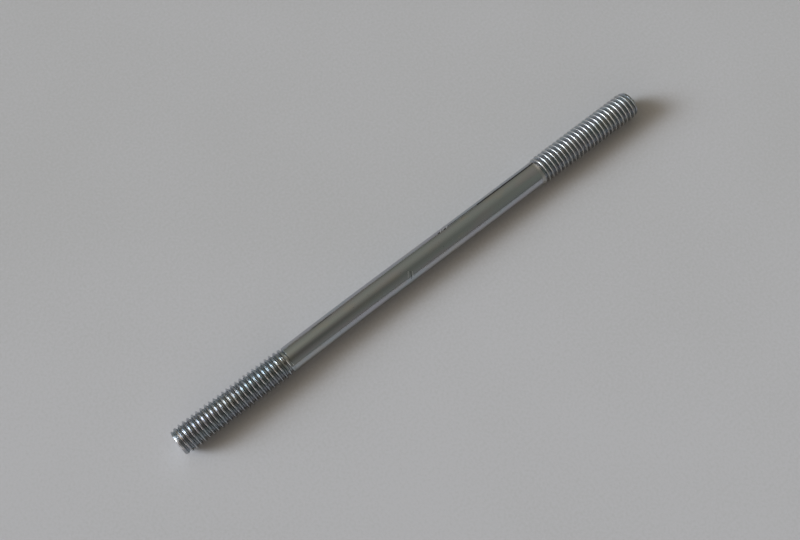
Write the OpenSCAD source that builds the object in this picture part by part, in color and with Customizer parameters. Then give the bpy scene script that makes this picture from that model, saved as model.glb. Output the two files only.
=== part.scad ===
// Double-ended cylinder stud: a steel rod with a rolled right-hand thread on each end and a
// plain shank between them. It lies along X and rests on its thread crests, with Z up.

/* [Stud] */
// Overall length, from end face to end face
stud_len = 113.5; // [70:0.5:180]
// Diameter of the plain shank
shank_d = 5.3; // [4.4:0.05:6.4]

/* [Threads] */
// Diameter over the thread crests
major_d = 5.9; // [5:0.05:7.2]
// Pitch of both threads
pitch = 1; // [0.8:0.05:1.25]
// Length of the thread that screws into the crankcase, run-out included
case_thread_len = 26; // [8:0.5:34]
// Length of the thread that takes the nut, run-out included
nut_thread_len = 25.5; // [8:0.5:34]
// Length over which each thread runs out into the shank
runout_len = 2; // [0.5:0.1:4]
// Angle about the axis at which the crankcase thread starts
case_thread_start = 0; // [0:15:345]
// Angle about the axis at which the nut thread starts
nut_thread_start = 0; // [0:15:345]

/* [Ends] */
// How far the rounded point narrows the crankcase end, on the radius
case_point_drop = 0.5; // [0:0.05:0.9]
// How far the rounded point narrows the nut end, on the radius
nut_point_drop = 0.75; // [0:0.05:0.9]
// Length of the rounded point
point_len = 2; // [0.5:0.1:4]

/* [Hidden] */

// ISO metric profile: 60 degree flanks, a crest flat of P/8 and a root flat of P/4
crest_flat = pitch / 8;
root_flat = pitch / 4;
flank_w = (pitch - crest_flat - root_flat) / 2;
thread_depth = flank_w / tan(30);

major_r = major_d / 2;
root_r = major_r - thread_depth;
shank_r = shank_d / 2;

// Inside the shank each thread ends in a spigot, a little narrower than the shank that covers it
spigot_r = shank_r - 0.04;
spigot_len = 0.5;
// Corners of the thread this near a flat end are moved on to it, which leaves no slivers
snap = pitch / 50;

// One pitch of the thread, as [place along the axis, radius]
profile = [
    [0, root_r],
    [root_flat, root_r],
    [root_flat + flank_w, major_r],
    [root_flat + flank_w + crest_flat, major_r],
    [pitch, root_r]
];
// The last corner is the first one of the next pitch
corners = len(profile) - 1;
// Straight steps in one turn of the helix
turn_steps = 24;
turn_step = 360 / turn_steps;
// The stud lies on flats of the stepped crest, a little nearer the axis than its corners, or on
// its shank where that is the thicker
rest_height = max(major_r * cos(turn_step / 2), shank_r);

function clamp(v, low, high) = min(max(v, low), high);

// Place along the axis of corner m of the thread, on the line at step i of the turn
function corner_z(i, m, solid_len) =
    let (z = pitch * (floor(m / corners) - 1 + i / turn_steps) + profile[m % corners][0])
    z < snap ? 0 : z > solid_len - snap ? solid_len : z;

// Radius of the full thread at step i of the turn
function thread_r(i, z) =
    let (climb = z / pitch - i / turn_steps)
    lookup(pitch * (climb - floor(climb)), profile);

// The same, narrowed by the rounded point and faded by the run-out
function surface_r(i, z, thread_len, point_drop) =
    let (point_r = major_r - point_drop * pow(clamp(1 - z / point_len, 0, 1), 2),
         full = clamp((thread_len - spigot_len / 2 - z) / runout_len, 0, 1))
    spigot_r + full * (min(thread_r(i, z), point_r) - spigot_r);

// One threaded end as a closed solid, standing on its end face, with its spigot on top
module threaded_end(thread_len, point_drop) {
    solid_len = thread_len + spigot_len;
    steps = [0:turn_steps - 1];
    rows = corners * (ceil(solid_len / pitch) + 1);
    // On each line, the last corner on the end face and the first on the spigot's face
    first = [for (i = steps) max([for (m = [0:rows]) if (corner_z(i, m, solid_len) == 0) m])];
    last = [for (i = steps) min([for (m = [0:rows]) if (corner_z(i, m, solid_len) == solid_len) m])];
    points = [for (i = steps, m = [0:rows])
        let (z = corner_z(i, m, solid_len),
             r = surface_r(i, z, thread_len, point_drop),
             angle = turn_step * (i + 0.5))
        [r * cos(angle), r * sin(angle), z]];
    // After a full turn each corner has climbed one pitch, so the first line closes the last
    function index(i, m) =
        let (line = i % turn_steps, row = i < turn_steps ? m : m + corners)
        line * (rows + 1) + clamp(row, first[line], last[line]);
    sides = [for (i = steps, m = [0:rows - 1])
        let (a = index(i, m), b = index(i, m + 1), c = index(i + 1, m + 1), d = index(i + 1, m))
        each [if (c != d) [a, c, d], if (a != b) [a, b, c]]];
    end_face = [for (i = steps) index(i, 0)];
    spigot_face = [for (i = [turn_steps - 1:-1:0]) index(i, rows)];
    polyhedron(points, concat([end_face, spigot_face], sides));
}

// The plain shank, between the threads
module shank() {
    translate([case_thread_len - stud_len / 2, 0, 0]) rotate([0, 90, 0])
        cylinder(h = stud_len - case_thread_len - nut_thread_len, r = shank_r, $fn = 96);
}

module stud() {
    color("silver") translate([0, 0, rest_height]) {
        shank();
        translate([-stud_len / 2, 0, 0]) rotate([0, 90, 0]) rotate([0, 0, case_thread_start])
            threaded_end(case_thread_len, case_point_drop);
        translate([stud_len / 2, 0, 0]) rotate([0, -90, 0]) rotate([0, 0, nut_thread_start])
            threaded_end(nut_thread_len, nut_point_drop);
    }
}

stud();
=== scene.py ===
import math

import bpy
from mathutils import Matrix, Vector


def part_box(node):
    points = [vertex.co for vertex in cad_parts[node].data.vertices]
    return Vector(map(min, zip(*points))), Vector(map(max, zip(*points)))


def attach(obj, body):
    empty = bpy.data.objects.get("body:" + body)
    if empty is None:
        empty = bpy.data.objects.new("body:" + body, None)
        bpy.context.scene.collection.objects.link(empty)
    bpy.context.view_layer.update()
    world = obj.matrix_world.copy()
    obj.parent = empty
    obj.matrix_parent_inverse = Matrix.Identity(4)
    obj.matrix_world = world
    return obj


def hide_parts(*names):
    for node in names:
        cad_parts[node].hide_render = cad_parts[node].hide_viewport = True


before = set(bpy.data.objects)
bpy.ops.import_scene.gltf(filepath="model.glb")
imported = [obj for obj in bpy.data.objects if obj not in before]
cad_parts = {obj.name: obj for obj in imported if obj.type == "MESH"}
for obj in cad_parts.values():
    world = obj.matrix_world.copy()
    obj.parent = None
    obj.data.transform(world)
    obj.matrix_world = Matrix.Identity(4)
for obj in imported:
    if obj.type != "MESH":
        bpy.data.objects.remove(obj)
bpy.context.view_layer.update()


# ---------------------------------------------------------------------------------------------
# The stud: one rod of drawn steel, pointed at both ends, thread-rolled between flat dies and then
# zinc plated. Rolling presses the threads in and raises their crests above the blank, whose own
# diameter stays on the shank. All is worked out along the axis, from the two end faces inwards.
# ---------------------------------------------------------------------------------------------
stud_low, stud_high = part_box("stud")
stud_length = stud_high.x - stud_low.x
axis_height = (stud_low.z + stud_high.z) / 2

# Metres. The bow is a slight bend to one side, strongest at its middle and gone past its reach.
STUD_SIZES = {
    "Length": stud_length,
    "Axis Height": axis_height,
    "Shank Diameter": 0.0053,
    "Thread Diameter": 0.0059,
    "Pitch": 0.001,
    "Thread Depth": 0.00062,
    "Crest Rounding": 0.00016,
    "Root Rounding": 0.0001,
    "Case Thread Length": 0.0258,
    "Nut Thread Length": 0.0255,
    "Case Run-out Length": 0.0026,
    "Nut Run-out Length": 0.0014,
    "Run-out Drop Length": 0.0003,
    "Case Point Length": 0.003,
    "Nut Point Length": 0.002,
    "Case Point Drop": 0.00042,
    "Nut Point Drop": 0.00035,
    "Rim Radius": 0.00025,
    "Bow": 0.0002,
    "Bow Middle": -0.014,
    "Bow Reach": 0.02,
}
# Steps of the surface, and the step of the turn at which each thread starts
STUD_COUNTS = {
    "Turn Steps": 72,
    "Rows per Pitch": 24,
    "End Face Rings": 6,
    "Rim Rings": 5,
    "Case Start Step": 4,
    "Nut Start Step": 66,
}

# Marks on the shank, each from one place to another as (mm along the stud from its middle,
# degrees round from the top towards +Y), with its width in metres. Scratches are dark and rubs
# bright. The long dark line along the upper side, from 9.5 to 31.6 mm, is a painted reflection.
SHANK_SCRATCHES_AND_REFLECTION_LINE = [
    ((-2.2, -29), (-2.8, -60), 0.00018),
    ((7.0, 37.5), (7.5, 38), 0.0004),
    ((8.0, 39), (8.25, 39), 0.0004),
    ((8.5, 36.5), (8.8, 36), 0.0004),
    # Painted reflection, not a scratch: the dark line along the upper side, in two lengths
    ((9.5, 40.5), (18.0, 39.5), 0.00025),
    ((17.0, 39), (31.6, 37.5), 0.00062),
    ((-24.0, 33), (-19.5, 33.5), 0.00022),
]
SHANK_RUBS = [
    ((-2.6, -22), (-3.2, -44), 0.00022),
    ((-1.9, -33), (-2.3, -52), 0.00018),
    ((7.5, 36), (7.9, 45), 0.0003),
    ((8.1, 37), (8.5, 45), 0.0003),
    ((9.0, 35), (9.3, 43), 0.00025),
]


class Formula:
    """A number in a node tree, which ordinary arithmetic builds on."""

    def __init__(self, tree, socket):
        self.tree = tree
        self.socket = socket

    def of(self, operation, *others):
        node = self.tree.nodes.new("ShaderNodeMath")
        node.operation = operation
        for slot, value in zip(node.inputs, (self, *others)):
            if isinstance(value, Formula):
                self.tree.links.new(value.socket, slot)
            else:
                slot.default_value = value
        return Formula(self.tree, node.outputs[0])

    def __add__(self, other):
        return self.of("ADD", other)

    def __sub__(self, other):
        return self.of("SUBTRACT", other)

    def __mul__(self, other):
        return self.of("MULTIPLY", other)

    def __truediv__(self, other):
        return self.of("DIVIDE", other)

    def clamped(self, low, high):
        return self.of("MAXIMUM", low).of("MINIMUM", high)

    def rise(self, low, high):
        """0 up to low, 1 from high on, and a soft slope between."""
        along = ((self - low) / (high - low)).clamped(0, 1)
        return along * along * (along * -2 + 3)


def new_tree(name, floats, counts):
    tree = bpy.data.node_groups.new(name, "GeometryNodeTree")
    for label in floats:
        tree.interface.new_socket(label, in_out="INPUT", socket_type="NodeSocketFloat")
    for label in counts:
        tree.interface.new_socket(label, in_out="INPUT", socket_type="NodeSocketInt")
    tree.interface.new_socket("Geometry", in_out="OUTPUT", socket_type="NodeSocketGeometry")
    given = tree.nodes.new("NodeGroupInput")
    result = tree.nodes.new("NodeGroupOutput")
    sizes = {label: Formula(tree, given.outputs[label]) for label in (*floats, *counts)}
    return tree, sizes, result


def store(tree, geometry, name, kind, value):
    keep = tree.nodes.new("GeometryNodeStoreNamedAttribute")
    keep.data_type = kind
    keep.domain = "POINT"
    keep.inputs["Name"].default_value = name
    slot = next(socket for socket in keep.inputs if socket.name == "Value" and socket.enabled)
    tree.links.new(geometry, keep.inputs["Geometry"])
    tree.links.new(value, slot)
    return keep.outputs[0]


def grid_of_points(tree, rows, columns, point):
    """A grid laid out by point(row, column), which gives x, y, z and the depth below the crests."""
    grid = tree.nodes.new("GeometryNodeMeshGrid")
    tree.links.new(rows.socket, grid.inputs["Vertices X"])
    tree.links.new(columns.socket, grid.inputs["Vertices Y"])
    index = Formula(tree, tree.nodes.new("GeometryNodeInputIndex").outputs[0])
    row = (index / columns).of("FLOOR")
    column = index - row * columns
    *position, depth = point(row, column)
    place = tree.nodes.new("ShaderNodeCombineXYZ")
    for slot, value in zip(place.inputs, position):
        tree.links.new(value.socket, slot)
    move = tree.nodes.new("GeometryNodeSetPosition")
    tree.links.new(grid.outputs["Mesh"], move.inputs["Geometry"])
    tree.links.new(place.outputs[0], move.inputs["Position"])
    return store(tree, move.outputs[0], "thread_depth", "FLOAT", depth.socket)


def threaded_end_tree():
    """One threaded end along +X, from the middle of its end face at the origin to the shank."""
    tree, s, result = new_tree(
        "threaded_end",
        ["Thread Length", "Thread Diameter", "Shank Diameter", "Pitch", "Thread Depth",
         "Crest Rounding", "Root Rounding", "Run-out Length", "Run-out Drop Length",
         "Point Length", "Point Drop", "Rim Radius"],
        ["Turn Steps", "Rows per Pitch", "End Face Rings", "Rim Rings", "Start Step"],
    )
    crest = s["Thread Diameter"] / 2
    blank = s["Shank Diameter"] / 2
    root = crest - s["Thread Depth"]
    pitch = s["Pitch"]
    # Flanks at 60 degrees to each other, cut off where a crest an eighth of the pitch wide begins
    half_flank_angle = math.radians(30)
    flank_rise = pitch * (0.5 / math.tan(half_flank_angle))
    sharp_top = crest + flank_rise / 8
    # How softly the crests pass into the turned point
    point_blend = pitch * 0.04

    def left_of_thread(x, fade_length):
        return ((s["Thread Length"] - x) / fade_length).clamped(0, 1)

    def radius(x, turn):
        """The rolled profile, narrowed by the point. At the run-out its crests fade first."""
        from_root = ((x / pitch - turn).of("FRACT") - 0.5).of("ABSOLUTE") * 2
        flank = sharp_top - flank_rise + flank_rise * from_root
        rolled = flank.of("SMOOTH_MAX", root, s["Root Rounding"])
        rolled = rolled.of("SMOOTH_MIN", crest, s["Crest Rounding"])
        to_point = (x / s["Point Length"] * -1 + 1).clamped(0, 1)
        point_r = crest - s["Point Drop"] * to_point * to_point
        pointed = rolled.of("SMOOTH_MIN", point_r, point_blend)
        crest_height = (crest - blank) * left_of_thread(x, s["Run-out Length"])
        above = (pointed - blank).of("MAXIMUM", 0).of("MINIMUM", crest_height)
        below = (pointed - blank).of("MINIMUM", 0) * left_of_thread(x, s["Run-out Drop Length"])
        return blank + above + below

    def point(row, column):
        """First the rings of the end face, then those of its rim, then the helix."""
        turn = column / s["Turn Steps"]
        rim_row = row - s["End Face Rings"]
        helix_row = (rim_row - s["Rim Rings"]).of("MAXIMUM", 0)
        helix_x = pitch * (helix_row / s["Rows per Pitch"] - 1 + turn)
        side_x = helix_x.of("MAXIMUM", s["Rim Radius"]).of("MINIMUM", s["Thread Length"])
        side_r = radius(side_x, turn)
        round_rim = (rim_row / s["Rim Rings"]).clamped(0, 1) * (math.pi / 2)
        x = side_x - s["Rim Radius"] * round_rim.of("COSINE")
        rim_r = side_r - s["Rim Radius"] + s["Rim Radius"] * round_rim.of("SINE")
        r = rim_r * (row / s["End Face Rings"]).of("MINIMUM", 1)
        angle = (turn + s["Start Step"] / s["Turn Steps"]) * math.tau
        on_side = (rim_row / s["Rim Rings"]).clamped(0, 1)
        in_thread = left_of_thread(side_x, s["Run-out Length"]) * on_side
        depth = (crest - side_r) / s["Thread Depth"] * in_thread
        return x, r * angle.of("COSINE"), r * angle.of("SINE"), depth

    helix_rows = s["Rows per Pitch"] * ((s["Thread Length"] / pitch).of("CEIL") + 1)
    rows = s["End Face Rings"] + s["Rim Rings"] + helix_rows + 1
    surface = grid_of_points(tree, rows, s["Turn Steps"] + 1, point)
    tree.links.new(surface, result.inputs[0])
    return tree


def stud_tree():
    """The whole stud: two threaded ends, the second turned about, and the shank between them."""
    tree, s, result = new_tree("rolled_stud", STUD_SIZES, STUD_COUNTS)
    tree.interface.new_socket("Material", in_out="INPUT", socket_type="NodeSocketMaterial")
    join = tree.nodes.new("GeometryNodeJoinGeometry")
    end_tree = threaded_end_tree()

    def threaded_end(which, middle_to_face, turned):
        end = tree.nodes.new("GeometryNodeGroup")
        end.node_tree = end_tree
        for slot in end.inputs:
            given = s[slot.name] if slot.name in s else s[f"{which} {slot.name}"]
            tree.links.new(given.socket, slot)
        place = tree.nodes.new("ShaderNodeCombineXYZ")
        tree.links.new(middle_to_face.socket, place.inputs["X"])
        tree.links.new(s["Axis Height"].socket, place.inputs["Z"])
        move = tree.nodes.new("GeometryNodeTransform")
        tree.links.new(end.outputs[0], move.inputs["Geometry"])
        tree.links.new(place.outputs[0], move.inputs["Translation"])
        move.inputs["Rotation"].default_value = (0, 0, turned)
        tree.links.new(move.outputs[0], join.inputs[0])

    threaded_end("Case", s["Length"] * -0.5, 0)
    threaded_end("Nut", s["Length"] * 0.5, math.pi)

    shank_rows = 49
    shank_start = s["Case Thread Length"] - s["Length"] / 2
    shank_length = s["Length"] - s["Case Thread Length"] - s["Nut Thread Length"]

    def shank_point(row, column):
        x = shank_start + shank_length * (row / (shank_rows - 1))
        angle = column / s["Turn Steps"] * math.tau
        r = s["Shank Diameter"] / 2
        no_depth = row * 0
        return x, r * angle.of("COSINE"), r * angle.of("SINE") + s["Axis Height"], no_depth

    row_count = tree.nodes.new("FunctionNodeInputInt")
    row_count.integer = shank_rows
    rows = Formula(tree, row_count.outputs[0])
    shank = grid_of_points(tree, rows, s["Turn Steps"] + 1, shank_point)
    tree.links.new(shank, join.inputs[0])

    seam_width = 2e-6
    merge = tree.nodes.new("GeometryNodeMergeByDistance")
    merge.inputs["Distance"].default_value = seam_width
    flip = tree.nodes.new("GeometryNodeFlipFaces")
    tree.links.new(join.outputs[0], merge.inputs[0])
    tree.links.new(merge.outputs[0], flip.inputs[0])

    # The finish follows the straight stud, measured from its axis. Then the stud is bent a little.
    place = tree.nodes.new("ShaderNodeSeparateXYZ")
    tree.links.new(tree.nodes.new("GeometryNodeInputPosition").outputs[0], place.inputs[0])
    x, y, z = (Formula(tree, place.outputs[axis]) for axis in "XYZ")
    rolled_place = tree.nodes.new("ShaderNodeCombineXYZ")
    for slot, value in zip(rolled_place.inputs, (x, y, z - s["Axis Height"])):
        tree.links.new(value.socket, slot)
    marked = store(tree, flip.outputs[0], "rolled_place", "FLOAT_VECTOR", rolled_place.outputs[0])
    from_middle = (x - s["Bow Middle"]) / s["Bow Reach"]
    bow = s["Bow"] * (from_middle * from_middle * -1).of("EXPONENT")
    aside = tree.nodes.new("ShaderNodeCombineXYZ")
    tree.links.new(bow.socket, aside.inputs["Y"])
    bend = tree.nodes.new("GeometryNodeSetPosition")
    tree.links.new(marked, bend.inputs["Geometry"])
    tree.links.new(aside.outputs[0], bend.inputs["Offset"])

    sharp_from = math.radians(60)
    edge_angle = tree.nodes.new("GeometryNodeInputMeshEdgeAngle")
    sharp = Formula(tree, edge_angle.outputs["Unsigned Angle"]).of("GREATER_THAN", sharp_from)
    shade = tree.nodes.new("GeometryNodeSetShadeSmooth")
    shade.domain = "EDGE"
    shade.inputs["Shade Smooth"].default_value = False
    realize = tree.nodes.new("GeometryNodeRealizeInstances")
    paint = tree.nodes.new("GeometryNodeSetMaterial")
    tree.links.new(bend.outputs[0], shade.inputs["Geometry"])
    tree.links.new(sharp.socket, shade.inputs["Selection"])
    tree.links.new(shade.outputs[0], realize.inputs[0])
    tree.links.new(realize.outputs[0], paint.inputs["Geometry"])
    given = next(n for n in tree.nodes if n.bl_idname == "NodeGroupInput")
    tree.links.new(given.outputs["Material"], paint.inputs["Material"])
    tree.links.new(paint.outputs[0], result.inputs[0])
    return tree


ZINC_COOL = (0.425, 0.47, 0.495)
ZINC_VIOLET = (0.46, 0.463, 0.5)
ZINC_YELLOWISH = (0.475, 0.475, 0.465)
CHIP_GREY = (0.3, 0.3, 0.3)
GROOVE_GREASE_AND_SHADE = (0.1, 0.14, 0.16)
SCUFFED_ZINC = (0.44, 0.42, 0.37)
SCRATCH_AND_REFLECTION_DARK = (0.02, 0.02, 0.025)
RUB_BRIGHT = (0.75, 0.76, 0.76)


def plate_material():
    """Bright zinc with a faint blue passivate, over steel with the long fine lines of drawing."""
    material = bpy.data.materials.new("zinc_plate")
    material.use_nodes = True
    tree = material.node_tree
    shader = tree.nodes["Principled BSDF"]

    def stored(name, output):
        node = tree.nodes.new("ShaderNodeAttribute")
        node.attribute_name = name
        return node.outputs[output]

    def noise(stretch, detail, roughness):
        """Noise from 0 to 1 on the rolled stud, with grains of the given sizes in metres."""
        scale = tree.nodes.new("ShaderNodeVectorMath")
        scale.operation = "DIVIDE"
        tree.links.new(stored("rolled_place", "Vector"), scale.inputs[0])
        scale.inputs[1].default_value = stretch
        node = tree.nodes.new("ShaderNodeTexNoise")
        node.inputs["Scale"].default_value = 1
        node.inputs["Detail"].default_value = detail
        node.inputs["Roughness"].default_value = roughness
        tree.links.new(scale.outputs[0], node.inputs["Vector"])
        return Formula(tree, node.outputs["Fac"])

    def mixed(amount, first, second):
        mix = tree.nodes.new("ShaderNodeMix")
        mix.data_type = "RGBA"
        tree.links.new(amount.socket, mix.inputs["Factor"])
        for slot, colour in ((mix.inputs[6], first), (mix.inputs[7], second)):
            if isinstance(colour, tuple):
                slot.default_value = (*colour, 1)
            else:
                tree.links.new(colour, slot)
        return mix.outputs[2]

    place = tree.nodes.new("ShaderNodeSeparateXYZ")
    tree.links.new(stored("rolled_place", "Vector"), place.inputs[0])
    x, y, z = (Formula(tree, place.outputs[axis]) for axis in "XYZ")
    # Distance round the shank's surface, from the top towards +Y
    shank_radius = STUD_SIZES["Shank Diameter"] / 2
    around = y.of("ARCTAN2", z) * shank_radius
    depth = Formula(tree, stored("thread_depth", "Fac"))

    def on_shank(mm_along, degrees_round):
        return mm_along / 1000, degrees_round * (shank_radius * math.tau / 360)

    def mark(start, end, width):
        """1 in the middle of a straight mark between two places on the shank, 0 outside it."""
        start_x, start_y = on_shank(*start)
        end_x, end_y = on_shank(*end)
        reach_x = end_x - start_x
        reach_y = end_y - start_y
        far_x = x - start_x
        far_y = around - start_y
        along = (far_x * reach_x + far_y * reach_y) / (reach_x * reach_x + reach_y * reach_y)
        along = along.clamped(0, 1)
        off_x = far_x - along * reach_x
        off_y = far_y - along * reach_y
        distance = (off_x * off_x + off_y * off_y).of("SQRT")
        return distance.rise(width / 2, width / 6)

    def any_of(marks):
        found = mark(*marks[0])
        for place_and_width in marks[1:]:
            found = found.of("MAXIMUM", mark(*place_and_width))
        return found

    # The scratches and the painted reflection line along the upper side
    scratch_and_reflection_mask = any_of(SHANK_SCRATCHES_AND_REFLECTION_LINE)
    rubbed = any_of(SHANK_RUBS)

    drawn_lines = noise((0.012, 0.00022, 0.00022), 3, 0.6)
    tints = noise((0.009, 0.0016, 0.0016), 2, 0.5)
    other_tints = noise((0.006, 0.0022, 0.0022), 2, 0.5)
    grain = noise((0.00012, 0.00012, 0.00012), 2, 0.5)
    chips = noise((0.0006, 0.0005, 0.0005), 3, 0.6).rise(0.66, 0.72)
    in_groove = depth.rise(0.1, 0.8)
    # The crests of the nut thread, which starts here, are scuffed by nuts run on to them
    scuffed_from = 0.0305
    fully_scuffed_from = 0.0315
    scuffed = x.rise(scuffed_from, fully_scuffed_from) * depth.rise(0.3, 0.05)

    colour = mixed(tints.rise(0.35, 0.65), ZINC_COOL, ZINC_VIOLET)
    colour = mixed(other_tints.rise(0.5, 0.75), colour, ZINC_YELLOWISH)
    colour = mixed(chips * 0.5, colour, CHIP_GREY)
    # The grooves are darkened, partly for the grease in them and partly as painted shade
    colour = mixed(in_groove * 0.3, colour, GROOVE_GREASE_AND_SHADE)
    colour = mixed(scuffed * 0.5, colour, SCUFFED_ZINC)
    # Darkens the colour under the scratches and under the painted reflection line
    colour = mixed(scratch_and_reflection_mask * 0.9, colour, SCRATCH_AND_REFLECTION_DARK)
    colour = mixed(rubbed * 0.5, colour, RUB_BRIGHT)
    tree.links.new(colour, shader.inputs["Base Color"])
    shader.inputs["Metallic"].default_value = 1
    roughness = drawn_lines * 0.06 + 0.11 + in_groove * 0.2 + rubbed * 0.25
    roughness = roughness + scuffed * 0.26 + chips * 0.1
    tree.links.new(roughness.socket, shader.inputs["Roughness"])

    # Lathe rings on the end faces, which are cut square before the points are turned
    ring_spacing = 0.00018
    face_edge = stud_length / 2 - 0.00012
    face_flat = stud_length / 2 - 0.00002
    bump_depth = 0.000012
    from_axis = (y * y + z * z).of("SQRT")
    end_face = x.of("ABSOLUTE").rise(face_edge, face_flat)
    rings = (from_axis * (math.tau / ring_spacing)).of("SINE") * end_face * 0.5
    height = drawn_lines * 0.5 + grain * 0.12 + rings - chips * 0.4
    bump = tree.nodes.new("ShaderNodeBump")
    bump.inputs["Strength"].default_value = 1
    bump.inputs["Distance"].default_value = bump_depth
    tree.links.new(height.socket, bump.inputs["Height"])
    tree.links.new(bump.outputs[0], shader.inputs["Normal"])
    return material


def run_geometry_nodes(name, tree, values):
    """Evaluate the tree once and keep the result as a plain mesh."""
    carrier = bpy.data.objects.new(name + "_tree", bpy.data.meshes.new(name + "_tree"))
    bpy.context.collection.objects.link(carrier)
    modifier = carrier.modifiers.new("build", "NODES")
    modifier.node_group = tree
    for item in tree.interface.items_tree:
        if item.in_out == "INPUT":
            modifier[item.identifier] = values[item.name]
    graph = bpy.context.evaluated_depsgraph_get()
    mesh = bpy.data.meshes.new_from_object(carrier.evaluated_get(graph), depsgraph=graph)
    bpy.data.objects.remove(carrier)
    mesh.name = name
    piece = bpy.data.objects.new(name, mesh)
    bpy.context.collection.objects.link(piece)
    return piece


stud_values = {**STUD_SIZES, **STUD_COUNTS, "Material": plate_material()}
stud = run_geometry_nodes("plated_stud", stud_tree(), stud_values)
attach(stud, "root")
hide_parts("stud")


# ---------------------------------------------------------------------------------------------
# The surface: a plain sheet of matt grey paper that the stud lies on. Pressed pulp leaves a faint
# tooth and slow clouds of tone in it.
# ---------------------------------------------------------------------------------------------
PAPER_REACH = 6.0
PAPER_DARK = (0.4, 0.391, 0.388, 1)
PAPER_PALE = (0.44, 0.43, 0.437, 1)
CLOUDS_PER_METRE = 22
FIBRES_PER_METRE = 1800
TOOTH_DEPTH = 0.00002

paper_mesh = bpy.data.meshes.new("paper")
paper_corners = [(-PAPER_REACH, -PAPER_REACH, 0), (PAPER_REACH, -PAPER_REACH, 0),
                 (PAPER_REACH, PAPER_REACH, 0), (-PAPER_REACH, PAPER_REACH, 0)]
paper_mesh.from_pydata(paper_corners, [], [(0, 1, 2, 3)])
paper = bpy.data.objects.new("paper", paper_mesh)
bpy.context.collection.objects.link(paper)
paper_material = bpy.data.materials.new("paper")
paper_material.use_nodes = True
paper_nodes = paper_material.node_tree.nodes
paper_links = paper_material.node_tree.links
paper_shader = paper_nodes["Principled BSDF"]
paper_shader.inputs["Roughness"].default_value = 0.9
paper_shader.inputs["Specular IOR Level"].default_value = 0.2
paper_place = paper_nodes.new("ShaderNodeTexCoord").outputs["Object"]


def paper_noise(grains_per_metre, detail):
    node = paper_nodes.new("ShaderNodeTexNoise")
    node.inputs["Scale"].default_value = grains_per_metre
    node.inputs["Detail"].default_value = detail
    paper_links.new(paper_place, node.inputs["Vector"])
    return Formula(paper_material.node_tree, node.outputs["Fac"])


paper_clouds = paper_noise(CLOUDS_PER_METRE, 3)
paper_fibres = paper_noise(FIBRES_PER_METRE, 3)
paper_tone = paper_nodes.new("ShaderNodeMix")
paper_tone.data_type = "RGBA"
paper_across = paper_nodes.new("ShaderNodeSeparateXYZ")
paper_links.new(paper_place, paper_across.inputs[0])
paper_x = Formula(paper_material.node_tree, paper_across.outputs["X"])
paper_y = Formula(paper_material.node_tree, paper_across.outputs["Y"])
# Painted light: the paper is paler and a little bluer towards the near side
near_side_painted_light = (paper_x * -6 - paper_y * 8).clamped(-0.1, 0.4)
paper_shade = paper_clouds + (paper_fibres - 0.5) * 2.2 + near_side_painted_light
paper_links.new(paper_shade.socket, paper_tone.inputs["Factor"])
paper_tone.inputs[6].default_value = PAPER_DARK
paper_tone.inputs[7].default_value = PAPER_PALE
paper_links.new(paper_tone.outputs[2], paper_shader.inputs["Base Color"])
paper_bump = paper_nodes.new("ShaderNodeBump")
paper_bump.inputs["Strength"].default_value = 1
paper_bump.inputs["Distance"].default_value = TOOTH_DEPTH
paper_links.new(paper_fibres.socket, paper_bump.inputs["Height"])
paper_links.new(paper_bump.outputs[0], paper_shader.inputs["Normal"])
paper_mesh.materials.append(paper_material)


# ---------------------------------------------------------------------------------------------
# The light: a soft window low beyond the crankcase end, and a dim room around it. It is all in the
# world, as round patches of light that fade at their edges.
# ---------------------------------------------------------------------------------------------
room = bpy.data.worlds.new("room")
room.use_nodes = True
room_nodes = room.node_tree.nodes
room_links = room.node_tree.links
towards = room_nodes.new("ShaderNodeTexCoord").outputs["Generated"]


def direction(azimuth, elevation):
    """A direction from degrees round from +X towards +Y, and degrees up."""
    azimuth = math.radians(azimuth)
    elevation = math.radians(elevation)
    level = math.cos(elevation)
    return math.cos(azimuth) * level, math.sin(azimuth) * level, math.sin(elevation)


def glow(azimuth, elevation, sharpness, colour):
    """A soft round patch of light in the room, seen in one direction from the stud."""
    facing = room_nodes.new("ShaderNodeVectorMath")
    facing.operation = "DOT_PRODUCT"
    room_links.new(towards, facing.inputs[0])
    facing.inputs[1].default_value = direction(azimuth, elevation)
    fall = ((Formula(room.node_tree, facing.outputs["Value"]) - 1) * sharpness).of("EXPONENT")
    patch = room_nodes.new("ShaderNodeVectorMath")
    patch.operation = "SCALE"
    patch.inputs[0].default_value = colour
    room_links.new(fall.socket, patch.inputs["Scale"])
    return patch.outputs[0]


def sum_of(patches):
    total = patches[0]
    for patch in patches[1:]:
        add = room_nodes.new("ShaderNodeVectorMath")
        add.operation = "ADD"
        room_links.new(total, add.inputs[0])
        room_links.new(patch, add.inputs[1])
        total = add.outputs[0]
    return total


room_light = sum_of([
    # The window itself, cool and low, its upper edge and the warmer wall above it
    glow(151, 25.5, 66, (37.3, 42.0, 47.1)),
    glow(155, 38, 60, (1.6, 1.7, 1.8)),
    glow(155, 50, 12, (1.25, 1.0, 0.7)),
    # The window's sill and the furniture below it
    glow(203, -13, 5, (2.95, 2.65, 2.5)),
    # The far walls and the ceiling
    glow(90, 45, 2, (0.172, 0.162, 0.135)),
    glow(270, 80, 0.8, (0.152, 0.148, 0.127)),
    glow(330, 35, 8, (0.16, 0.17, 0.14)),
    glow(60, 25, 6, (0.05, 0.05, 0.044)),
    glow(280, 12, 14, (0.06, 0.06, 0.062)),
])
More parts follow.
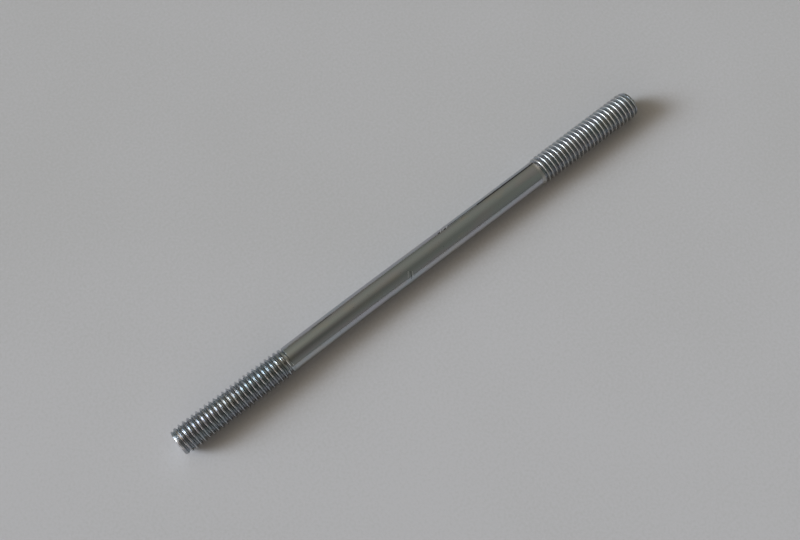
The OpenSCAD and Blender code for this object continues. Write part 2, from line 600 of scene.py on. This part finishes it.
# Someone leans over the stud and shades the middle of the ceiling
shade_of_person = glow(234, 63, 10, (0.93, 0.93, 0.93))
unshaded = room_nodes.new("ShaderNodeVectorMath")
unshaded.operation = "SUBTRACT"
unshaded.inputs[0].default_value = (1, 1, 1)
room_links.new(shade_of_person, unshaded.inputs[1])
shaded_light = room_nodes.new("ShaderNodeVectorMath")
shaded_light.operation = "MULTIPLY"
room_links.new(room_light, shaded_light.inputs[0])
room_links.new(unshaded.outputs[0], shaded_light.inputs[1])
room_links.new(shaded_light.outputs[0], room_nodes["Background"].inputs["Color"])
bpy.context.scene.world = room


# ---------------------------------------------------------------------------------------------
# The camera looks steeply down on the stud, which runs away from it to the upper right. It is
# placed by where the middle of the crankcase end face comes in the frame, and how far away it is.
# ---------------------------------------------------------------------------------------------
FRAME_WIDTH = 800
FRAME_HEIGHT = 540
SENSOR_WIDTH = 36
FOCAL_PIXELS = 1050.0

# Directions of the stud's axis and of the floor's normal from the camera, as (right, down, away)
axis_in_view = Vector((0.78312, -0.59011, 0.1962)).normalized()
floor_in_view = Vector((0, axis_in_view.z * -1, axis_in_view.y)).normalized()
case_end_pixel = Vector((178.3, 443.6))
case_end_depth = 0.19586

across_in_view = floor_in_view.cross(axis_in_view)
view_from_world = Matrix((axis_in_view, across_in_view, floor_in_view)).transposed()
case_end_in_view = case_end_depth * Vector((
    (case_end_pixel.x - FRAME_WIDTH / 2) / FOCAL_PIXELS,
    (case_end_pixel.y - FRAME_HEIGHT / 2) / FOCAL_PIXELS,
    1,
))
case_end = Vector((-stud_length / 2, 0, axis_height))
camera_place = case_end - view_from_world.transposed() @ case_end_in_view
camera_data = bpy.data.cameras.new("camera")
camera_data.sensor_width = SENSOR_WIDTH
camera_data.lens = SENSOR_WIDTH * FOCAL_PIXELS / FRAME_WIDTH
camera = bpy.data.objects.new("camera", camera_data)
flip_to_camera = Matrix(((1, 0, 0), (0, -1, 0), (0, 0, -1)))
camera.matrix_world = (flip_to_camera @ view_from_world).transposed().to_4x4()
camera.matrix_world.translation = camera_place
bpy.context.collection.objects.link(camera)
bpy.context.scene.camera = camera

bpy.context.scene.view_settings.view_transform = "Standard"
